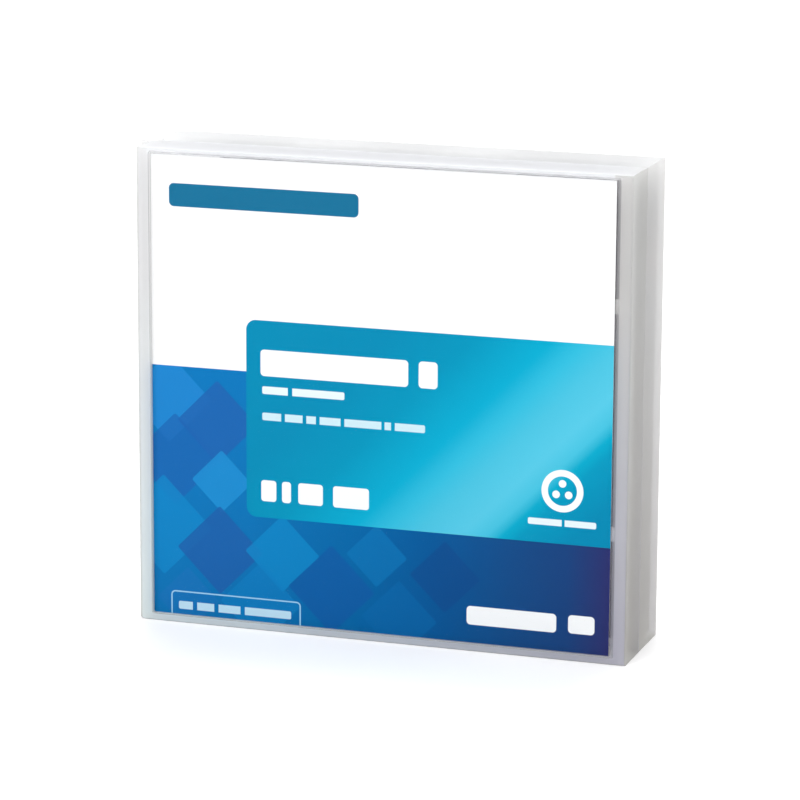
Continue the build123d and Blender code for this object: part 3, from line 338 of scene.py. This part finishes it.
def cutGaps(tree, across, mask, start, end, gaps):
    # leaves gaps in a bar, with a stepped ramp along it
    spread = addNode(tree, "ShaderNodeMapRange", {"From Min": start, "From Max": end}, {"Value": across})
    ramp = addNode(tree, "ShaderNodeValToRGB", links={"Fac": spread.outputs[0]})
    ramp.color_ramp.interpolation = "CONSTANT"
    points = ramp.color_ramp.elements
    points.remove(points[1])
    points[0].color = (1, 1, 1, 1)
    for gapStart, gapEnd in gaps:
        for edge, level in ((gapStart, 0), (gapEnd, 1)):
            points.new((edge - start) / (end - start)).color = (level, level, level, 1)
    return addNode(tree, "ShaderNodeMath", {"operation": "MULTIPLY"},
                   {0: mask, 1: ramp.outputs["Color"]}).outputs[0]


def ringMark(tree, point):
    # a ring with round dots inside it, as a reel looks from the side
    (x, z), (outer, inner) = card["ringCentre"], card["ringRadii"]
    away = addNode(tree, "ShaderNodeVectorMath", {"operation": "DISTANCE", 1: (x, 0, z)}, {0: point})
    disc, hole = (within(tree, away.outputs["Value"], radius) for radius in (outer, inner))
    mask = addNode(tree, "ShaderNodeMath", {"operation": "SUBTRACT"}, {0: disc, 1: hole}).outputs[0]
    reach = card["dotPlace"] * inner
    for i in range(card["ringDots"]):
        angle = math.radians(90 + 360 * i / card["ringDots"])
        spot = (x + reach * math.cos(angle), 0, z + reach * math.sin(angle))
        near = addNode(tree, "ShaderNodeVectorMath", {"operation": "DISTANCE", 1: spot}, {0: point})
        dot = within(tree, near.outputs["Value"], card["dotRadius"])
        mask = addNode(tree, "ShaderNodeMath", {"operation": "MAXIMUM"}, {0: mask, 1: dot}).outputs[0]
    return mask


def outlineMark(tree, point):
    # a thin rounded line that runs off the card's lower edge
    left, below, right, above = card["outline"]
    radius, width = card["outlineRadius"], card["outlineWidth"]
    outer = roundedField(tree, point, (left, below), (right, above), radius)
    inner = roundedField(tree, point, (left + width, below), (right - width, above - width),
                         radius - width)
    return addNode(tree, "ShaderNodeMath", {"operation": "SUBTRACT"}, {0: outer, 1: inner}).outputs[0]


def printInk(tree, point):
    # all the fields of the print, from the lowest to the highest
    place = addNode(tree, "ShaderNodeSeparateXYZ", links={0: point})
    across, height = place.outputs["X"], place.outputs["Z"]
    lower = blendRamp(tree, across, 0, cardHigh.x - cardLow.x, card["lowerStops"])
    dark, light = card["lowerShade"]
    shade = addNode(tree, "ShaderNodeMapRange",
                    {"From Max": card["lowerHeight"], "To Min": dark, "To Max": light}, {"Value": height})
    lower = addNode(tree, "ShaderNodeVectorMath", {"operation": "SCALE"},
                    {0: lower, "Scale": shade.outputs[0]}).outputs[0]
    for centre, side, colour, share in card["tiles"]:
        tile = turnedSquare(tree, point, centre, side, card["tileTurn"], card["tileRadius"])
        lower = overlay(tree, lower, colour, tile, share)
    left, below, right, above = card["lowerField"]
    field = roundedField(tree, point, (left, below), (right, above), card["lowerRadius"])
    ink = overlay(tree, card["white"], lower, field)
    ink = overlay(tree, ink, card["outlineColour"], outlineMark(tree, point))

    slope = addNode(tree, "ShaderNodeMath", {"operation": "SUBTRACT"}, {0: across, 1: height})
    panel = blendRamp(tree, slope.outputs[0], *card["panelReach"], card["panelStops"])
    left, below, right, above = card["panel"]
    field = roundedField(tree, point, (left, below), (right, above), card["panelRadius"])
    ink = overlay(tree, ink, panel, field)

    for lowCorner, highCorner, radius, colour, gaps in card["bars"]:
        bar = roundedField(tree, point, lowCorner, highCorner, radius)
        if gaps:
            bar = cutGaps(tree, across, bar, lowCorner[0], highCorner[0], gaps)
        ink = overlay(tree, ink, colour, bar)
    return overlay(tree, ink, card["ringColour"], ringMark(tree, point))


def makeCard():
    # coated card, offset printed: even ink with a faint grain, a soft satin shine
    material, tree = newMaterial("coatedCard")
    point = millimetres(tree, (cardLow.x, 0, cardLow.z))
    flat = addNode(tree, "ShaderNodeVectorMath", {"operation": "MULTIPLY", 1: (1, 0, 1)}, {0: point})
    ink = printInk(tree, flat.outputs[0])

    # only the front is printed: the back and the cut edges stay white
    depth = addNode(tree, "ShaderNodeSeparateXYZ", links={0: point})
    front = addNode(tree, "ShaderNodeMath", {"operation": "LESS_THAN", 1: cardLow.y + card["printDepth"]},
                    {0: depth.outputs["Y"]})
    ink = overlay(tree, card["back"], ink, front.outputs[0])

    grain = addNode(tree, "ShaderNodeTexNoise", {"Scale": card["fibreScale"], "Detail": 3.0},
                    {"Vector": point})
    height = addNode(tree, "ShaderNodeBump",
                     {"Strength": card["fibreBump"], "Distance": card["fibreDepth"] / perMetre},
                     {"Height": grain.outputs[0]})
    smooth, dull = card["rough"]
    shine = addNode(tree, "ShaderNodeMapRange", {"To Min": smooth, "To Max": dull},
                    {"Value": grain.outputs[0]})
    surface = addNode(tree, "ShaderNodeBsdfPrincipled",
                      {"IOR": card["index"], "Specular IOR Level": card["specular"]},
                      {"Base Color": ink, "Roughness": shine.outputs[0], "Normal": height.outputs[0]})
    finishMaterial(tree, surface.outputs[0])
    dress("cover_card", material)


makeCard()
print("card printed")


# frosted case, in millimetres of the frame
case = {
    "materials": {"case_base": "frostedPolypropylene", "case_lid": "frostedPolypropyleneFront"},
    "walls": {"case_base": ("#f2f2f1", "#dddbd6"), "case_lid": ("#e6e6e4", "#d2d0cc")},  # high up, low down: painted shade, darker low down and darker on the lid than on the base
    "frontHighPaintedShade": ("#ededee", "#dad9d8"),   # the front at its left and right: painted shade, darker towards the right
    "frontLowPaintedLight": ("#f4ffff", "#cccbd9"),    # low down a painted tint stands for the card's blues and violets showing through, with painted shade towards the right
    "topsPaintedLight": {"case_base": ("#fcfdfe", "#e8e9ea"), "case_lid": ("#f1f2f4", "#f1f2f4")},  # painted light on the upward faces: at the seam, behind
    "masks": {   # where each begins and is full: a place, or how squarely a face looks that way
        "lower": ("place", "Z", 85, 0),
        "right": ("place", "X", -58, 60),
        "behind": ("place", "Y", -2, 14),
        "forward": ("slant", "Y", -0.6, -0.9),
        "upward": ("slant", "Z", 0.6, 0.9),
    },
    "stripTop": 120, "stripRadius": 0.2, "stripSoft": 0.2,   # the lid's front above the card, given the tops' painted light too
    "clear": 0.24,          # share of light that passes straight through a frosted wall
    "rimClear": 0.10,       # the same on the lid's front and top, where it is thicker
    "glow": 0.50,           # share of the rest that passes scattered
    "index": 1.49,
    "frost": 0.22, "frostDepth": 0.03, "frostBump": 0.22,       # grain of the blasted tool
    "waveScale": 0.035, "waveDepth": 0.35, "waveBump": 0.35,    # per mm: slow waves of about 30 mm
    "rough": (0.30, 0.46),
    "window": (-0.45, 0.6, -0.2, 0.45),       # clear this far past the card's left, right, foot and top
    "windowEdge": (-0.45, 1.4, -0.1, 0.85),   # partly clear from there to here
    "windowHaze": 0.0005, "edgeClear": 0.62,
    "windowCorner": 0.4, "windowSoft": 0.10,
    "gloss": 0.06, "glossRough": 0.12,        # the window shines only where it reflects more than this
}


def frosting(tree, point):
    # a fine grain over slow waves, for the gloss and the height
    frost = addNode(tree, "ShaderNodeTexNoise", {"Scale": 1 / case["frost"], "Detail": 2.0},
                    {"Vector": point})
    flow = addNode(tree, "ShaderNodeTexNoise", {"Scale": case["waveScale"], "Detail": 1.0},
                   {"Vector": point})
    wave = addNode(tree, "ShaderNodeBump",
                   {"Strength": case["waveBump"], "Distance": case["waveDepth"] / perMetre},
                   {"Height": flow.outputs[0]})
    height = addNode(tree, "ShaderNodeBump",
                     {"Strength": case["frostBump"], "Distance": case["frostDepth"] / perMetre},
                     {"Height": frost.outputs[0], "Normal": wave.outputs[0]})
    smooth, dull = case["rough"]
    rough = addNode(tree, "ShaderNodeMapRange", {"To Min": smooth, "To Max": dull},
                    {"Value": frost.outputs[0]})
    return rough.outputs[0], height.outputs[0]


def windowField(tree, point, margins):
    # 1 over the card, with a margin for each of its edges
    left, right, below, above = margins
    return roundedField(tree, point, (cardLow.x - left, cardLow.z - below),
                        (cardHigh.x + right, cardHigh.z + above),
                        case["windowCorner"], case["windowSoft"])


def openWindow(tree, wall, point, depth, thick):
    # the lid's front wall turns clear and glossy where the card lies against it
    share = addNode(tree, "ShaderNodeMapRange", {"To Min": case["clear"], "To Max": case["rimClear"]},
                    {"Value": thick})
    front = addNode(tree, "ShaderNodeMath", {"operation": "LESS_THAN", 1: cardLow.y}, {0: depth})
    levels = (case["windowEdge"], case["edgeClear"]), (case["window"], 1 - case["windowHaze"])
    for margins, level in levels:
        over = addNode(tree, "ShaderNodeMath", {"operation": "MULTIPLY"},
                       {0: windowField(tree, point, margins), 1: front.outputs[0]})
        share = addNode(tree, "ShaderNodeMapRange", {"To Max": level},
                        {"Value": over.outputs[0], "To Min": share.outputs[0]})
    tree.links.new(share.outputs[0], wall.inputs[0])

    # gloss on the window's outer face only
    angle = addNode(tree, "ShaderNodeFresnel", {"IOR": case["index"]})
    shine = addNode(tree, "ShaderNodeMapRange", {"From Min": case["gloss"]}, {"Value": angle.outputs[0]})
    side = addNode(tree, "ShaderNodeNewGeometry")
    outer = addNode(tree, "ShaderNodeMath", {"operation": "SUBTRACT", "use_clamp": True},
                    {0: over.outputs[0], 1: side.outputs["Backfacing"]})
    shown = addNode(tree, "ShaderNodeMath", {"operation": "MULTIPLY"},
                    {0: shine.outputs[0], 1: outer.outputs[0]})
    mirror = addNode(tree, "ShaderNodeBsdfAnisotropic", {"Roughness": case["glossRough"]})
    return addNode(tree, "ShaderNodeMixShader",
                   links={0: shown.outputs[0], 1: wall.outputs[0], 2: mirror.outputs[0]})


def makeCase(piece):
    # polypropylene, moulded in a lightly blasted tool: milky, clear only where something touches it
    material, tree = newMaterial(case["materials"][piece])
    point = millimetres(tree, frameOrigin)
    rough, height = frosting(tree, point)
    coordinates = addNode(tree, "ShaderNodeTexCoord")
    parts = {"place": addNode(tree, "ShaderNodeSeparateXYZ", links={0: point}),
             "slant": addNode(tree, "ShaderNodeSeparateXYZ", links={0: coordinates.outputs["Normal"]})}
    masks = {}
    for name, (source, axis, start, end) in case["masks"].items():
        masks[name] = addNode(tree, "ShaderNodeMapRange", {"From Min": start, "From Max": end},
                              {"Value": parts[source].outputs[axis]}).outputs[0]

    # painted light and shade: greyer low down, in front a painted tint of the card's colours and darker to
    # the right, paler on top
    milkAndPaintedLight = overlay(tree, *case["walls"][piece], masks["lower"])
    high, low = (overlay(tree, *case[key], masks["right"]) for key in ("frontHighPaintedShade", "frontLowPaintedLight"))
    milkAndPaintedLight = overlay(tree, milkAndPaintedLight, overlay(tree, high, low, masks["lower"]), masks["forward"])
    rim = masks["upward"]
    # the lid's front strip above the card takes the same painted light as the tops
    if piece == "case_lid":
        strip = roundedField(tree, point, (cardLow.x, cardHigh.z), (cardHigh.x, case["stripTop"]),
                             case["stripRadius"], case["stripSoft"])
        rim = addNode(tree, "ShaderNodeMath", {"operation": "MAXIMUM"}, {0: rim, 1: strip}).outputs[0]
    milkAndPaintedLight = overlay(tree, milkAndPaintedLight, overlay(tree, *case["topsPaintedLight"][piece], masks["behind"]), rim)

    skin = addNode(tree, "ShaderNodeBsdfPrincipled", {"IOR": case["index"]},
                   {"Base Color": milkAndPaintedLight, "Roughness": rough, "Normal": height})
    through = addNode(tree, "ShaderNodeBsdfTranslucent", links={"Color": milkAndPaintedLight})
    milky = addNode(tree, "ShaderNodeMixShader", {0: case["glow"]},
                    {1: skin.outputs[0], 2: through.outputs[0]})
    clear = addNode(tree, "ShaderNodeBsdfTransparent")
    wall = addNode(tree, "ShaderNodeMixShader", {0: case["clear"]},
                   {1: milky.outputs[0], 2: clear.outputs[0]})
    if piece == "case_lid":
        thick = addNode(tree, "ShaderNodeMath", {"operation": "MAXIMUM"}, {0: rim, 1: masks["forward"]})
        wall = openWindow(tree, wall, point, parts["place"].outputs["Y"], thick.outputs[0])
    finishMaterial(tree, wall.outputs[0])
    dress(piece, material)


for casePiece in case["materials"]:
    makeCase(casePiece)
print("case frosted")


# the cartridge's moulded plastics: grain and relief in millimetres
moulded = {
    # spark-eroded texture, drawn twice as coarse as it is so that it shows, round a smoother middle field
    "mouldedViolet": {
        "colour": "#2f2149", "dark": "#22173a", "rough": (0.46, 0.62), "grain": 0.7, "relief": 0.09,
        "field": (24, 13, 16, 13),   # how far in it starts, from the left, below, the right and above
        "fieldCorner": 2.0, "fieldSoft": 0.15,
        "fieldRough": 0.34, "fieldBump": 0.08,
        "nodes": ["lower_shell", "upper_shell"],
    },
    "blackAcetal": {
        "colour": "#1b1b1e", "dark": "#151517", "rough": (0.32, 0.42), "grain": 0.8, "relief": 0.01,
        "nodes": ["reel_hub"],
    },
    "smokePolycarbonate": {
        "colour": "#3a3a40", "dark": "#303036", "rough": (0.18, 0.28), "grain": 1.5, "relief": 0.01,
        "nodes": ["reel_upper_flange"],
    },
    "whiteAcetal": {
        "colour": "#dcdbd4", "dark": "#d2d1c9", "rough": (0.34, 0.46), "grain": 0.8, "relief": 0.01,
        "nodes": ["tape_clamp", "release_pad"],
    },
    "greyAbs": {
        "colour": "#565a5f", "dark": "#4c5054", "rough": (0.40, 0.52), "grain": 0.4, "relief": 0.03,
        "nodes": ["brake_button", "access_door"],
    },
    "redAbs": {
        "colour": "#a02723", "dark": "#8f221f", "rough": (0.36, 0.48), "grain": 0.4, "relief": 0.03,
        "nodes": ["write_protect_tab"],
    },
}
mouldedShine = {"index": 1.5, "specular": 0.28, "bump": 0.4}


def makeMoulded(name, look):
    # a fine even grain in the colour, the gloss and the height
    material, tree = newMaterial(name)
    point = millimetres(tree, frameOrigin)
    grain = addNode(tree, "ShaderNodeTexNoise", {"Scale": 1 / look["grain"], "Detail": 3.0},
                    {"Vector": point})
    colour = overlay(tree, look["dark"], look["colour"], grain.outputs[0])
    smooth, dull = look["rough"]
    rough = addNode(tree, "ShaderNodeMapRange", {"To Min": smooth, "To Max": dull},
                    {"Value": grain.outputs[0]})
    height = addNode(tree, "ShaderNodeBump",
                     {"Strength": mouldedShine["bump"], "Distance": look["relief"] / perMetre},
                     {"Height": grain.outputs[0]})
    if "field" in look:
        left, below, right, above = look["field"]
        field = roundedField(tree, point, (shellLow.x + left, shellLow.z + below),
                             (shellHigh.x - right, shellHigh.z - above),
                             look["fieldCorner"], look["fieldSoft"])
        depth = addNode(tree, "ShaderNodeMapRange",
                        {"To Min": mouldedShine["bump"], "To Max": look["fieldBump"]}, {"Value": field})
        tree.links.new(depth.outputs[0], height.inputs["Strength"])
        rough = addNode(tree, "ShaderNodeMapRange", {"To Max": look["fieldRough"]},
                        {"Value": field, "To Min": rough.outputs[0]})
        colour = overlay(tree, colour, look["dark"], field)
    surface = addNode(tree, "ShaderNodeBsdfPrincipled",
                      {"IOR": mouldedShine["index"], "Specular IOR Level": mouldedShine["specular"]},
                      {"Base Color": colour, "Roughness": rough.outputs[0], "Normal": height.outputs[0]})
    finishMaterial(tree, surface.outputs[0])
    for node in look["nodes"]:
        dress(node, material)


for plasticName, plasticLook in moulded.items():
    makeMoulded(plasticName, plasticLook)


# tape, metals and chip: line widths in millimetres
tape = {
    "colour": "#241c19", "edge": "#3a302b", "rough": (0.16, 0.30), "index": 1.55,
    "wind": 0.35,   # width of one ring
    "nodes": ["tape_pack", "leader_tape"],
}
steel = {
    "colour": "#c3c4c6", "dark": "#a9abae", "rough": (0.22, 0.34),
    "lines": (0.25, 5.0, 0.25),   # left by turning and stamping, drawn out along the reel's axis
    "nodes": ["clutch_plate", "leader_pin", "shell_screws"],
}
wire = {
    "colour": "#b8babd", "dark": "#9b9da1", "rough": (0.26, 0.38),
    "lines": (0.12, 0.12, 0.12),   # left by drawing
    "nodes": ["pin_springs"],
}
board = {
    "mask": "#1f4d33", "track": "#2c6a45", "rough": 0.3, "index": 1.5,
    "pitch": 0.8, "trackShare": 0.5,   # from one track to the next, and the part of it that is track
}


def makeTape():
    # coated polyester film: the wound edges show faint rings, the face is smooth and dark
    material, tree = newMaterial("coatedFilm")
    point = millimetres(tree, reelCentre)
    flat = addNode(tree, "ShaderNodeVectorMath", {"operation": "MULTIPLY", 1: (1, 0, 1)}, {0: point})
    away = addNode(tree, "ShaderNodeVectorMath", {"operation": "LENGTH"}, {0: flat.outputs[0]})
    turns = addNode(tree, "ShaderNodeMath", {"operation": "MULTIPLY", 1: 1 / tape["wind"]},
                    {0: away.outputs["Value"]})
    rings = addNode(tree, "ShaderNodeTexNoise", {"noise_dimensions": "1D", "Scale": 1.0, "Detail": 2.0},
                    {"W": turns.outputs[0]})
    colour = overlay(tree, tape["colour"], tape["edge"], rings.outputs[0])
    smooth, dull = tape["rough"]
    rough = addNode(tree, "ShaderNodeMapRange", {"To Min": smooth, "To Max": dull},
                    {"Value": rings.outputs[0]})
    surface = addNode(tree, "ShaderNodeBsdfPrincipled", {"IOR": tape["index"]},
                      {"Base Color": colour, "Roughness": rough.outputs[0]})
    finishMaterial(tree, surface.outputs[0])
    for node in tape["nodes"]:
        dress(node, material)


def makeMetal(name, look):
    # bright metal with the fine lines that turning, stamping or drawing leaves
    material, tree = newMaterial(name)
    point = millimetres(tree, reelCentre)
    scale = tuple(1 / width for width in look["lines"])
    stretched = addNode(tree, "ShaderNodeMapping", {"Scale": scale}, {"Vector": point})
    lines = addNode(tree, "ShaderNodeTexNoise", {"Scale": 1.0, "Detail": 3.0},
                    {"Vector": stretched.outputs[0]})
    colour = overlay(tree, look["dark"], look["colour"], lines.outputs[0])
    smooth, dull = look["rough"]
    rough = addNode(tree, "ShaderNodeMapRange", {"To Min": smooth, "To Max": dull},
                    {"Value": lines.outputs[0]})
    surface = addNode(tree, "ShaderNodeBsdfPrincipled", {"Metallic": 1.0},
                      {"Base Color": colour, "Roughness": rough.outputs[0]})
    finishMaterial(tree, surface.outputs[0])
    for node in look["nodes"]:
        dress(node, material)
    return material


def makeBoard():
    # thin circuit board: green solder mask over the tracks of a printed coil
    material, tree = newMaterial("solderMask")
    point = millimetres(tree, frameOrigin)
    place = addNode(tree, "ShaderNodeSeparateXYZ", links={0: point})
    count = addNode(tree, "ShaderNodeMath", {"operation": "MULTIPLY", 1: 1 / board["pitch"]},
                    {0: place.outputs["Z"]})
    part = addNode(tree, "ShaderNodeMath", {"operation": "FRACT"}, {0: count.outputs[0]})
    track = addNode(tree, "ShaderNodeMath", {"operation": "GREATER_THAN", 1: 1 - board["trackShare"]},
                    {0: part.outputs[0]})
    colour = overlay(tree, board["mask"], board["track"], track.outputs[0])
    surface = addNode(tree, "ShaderNodeBsdfPrincipled",
                      {"IOR": board["index"], "Roughness": board["rough"]}, {"Base Color": colour})
    finishMaterial(tree, surface.outputs[0])
    dress("memory_chip", material)


makeTape()
makeMetal("platedSteel", steel)
springSteel = makeMetal("springWire", wire)
makeBoard()
print("cartridge finished")


# coil springs, in metres: they stand for the solid ones
springs = {
    "brakeCoil": {"node": "brake_spring", "joint": "brake_lift", "axis": 1, "fixedAt": "low",
                  "wire": 0.0010, "turns": 4.0, "endTurns": 0.6, "travel": 0.0017},
    "doorCoil": {"node": "door_spring", "joint": "door_slide", "axis": 0, "fixedAt": "high",
                 "wire": 0.0003, "turns": 7.0, "endTurns": 0.8, "travel": 0.0150},
}
coilSteps, coilSides = 56, 14   # per turn, and round the wire


def springSurface(low, high, look):
    # a closed tube along a helix whose end turns lie flat, as a ground spring's do
    axis, thick, turns, flat = look["axis"], look["wire"], look["turns"], look["endTurns"]
    across = [i for i in range(3) if i != axis]
    centre = (np.array(low) + np.array(high)) / 2
    radius = (high[across[1]] - low[across[1]] - thick) / 2
    turned = np.linspace(0, turns, int(turns * coilSteps) + 1)
    rise = np.interp(turned, (flat, turns - flat), (0, 1))
    line = np.zeros((len(turned), 3))
    line[:, axis] = low[axis] + thick / 2 + rise * (high[axis] - low[axis] - thick)
    line[:, across[0]] = centre[across[0]] + radius * np.cos(2 * np.pi * turned)
    line[:, across[1]] = centre[across[1]] + radius * np.sin(2 * np.pi * turned)
    outward = line - centre
    outward[:, axis] = 0
    outward /= np.linalg.norm(outward, axis=1)[:, None]
    side = np.cross(np.gradient(line, axis=0), outward)
    side /= np.linalg.norm(side, axis=1)[:, None]
    angle = np.linspace(0, 2 * np.pi, coilSides, endpoint=False)
    tube = (line[:, None] + 0.5 * thick * (np.cos(angle)[None, :, None] * outward[:, None]
                                           + np.sin(angle)[None, :, None] * side[:, None]))
    index = np.arange(len(turned) * coilSides).reshape(len(turned), coilSides)
    beside = np.roll(index, -1, axis=1)
    quads = np.stack([index[:-1], beside[:-1], beside[1:], index[1:]], axis=-1).reshape(-1, 4)
    return tube.reshape(-1, 3), quads.tolist() + [index[0][::-1].tolist(), index[-1].tolist()]


def makeSpring(name, look):
    low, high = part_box(look["node"])
    points, faces = springSurface(low, high, look)
    mesh = bpy.data.meshes.new(name)
    mesh.from_pydata(points.tolist(), [], faces)
    mesh.shade_smooth()
    mesh.materials.append(springSteel)
    coil = bpy.data.objects.new(name, mesh)
    bpy.context.scene.collection.objects.link(coil)
    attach(coil, "case")
    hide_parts(look["node"])
    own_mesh(coil)


for springName, springLook in springs.items():
    makeSpring(springName, springLook)
print("springs wound")
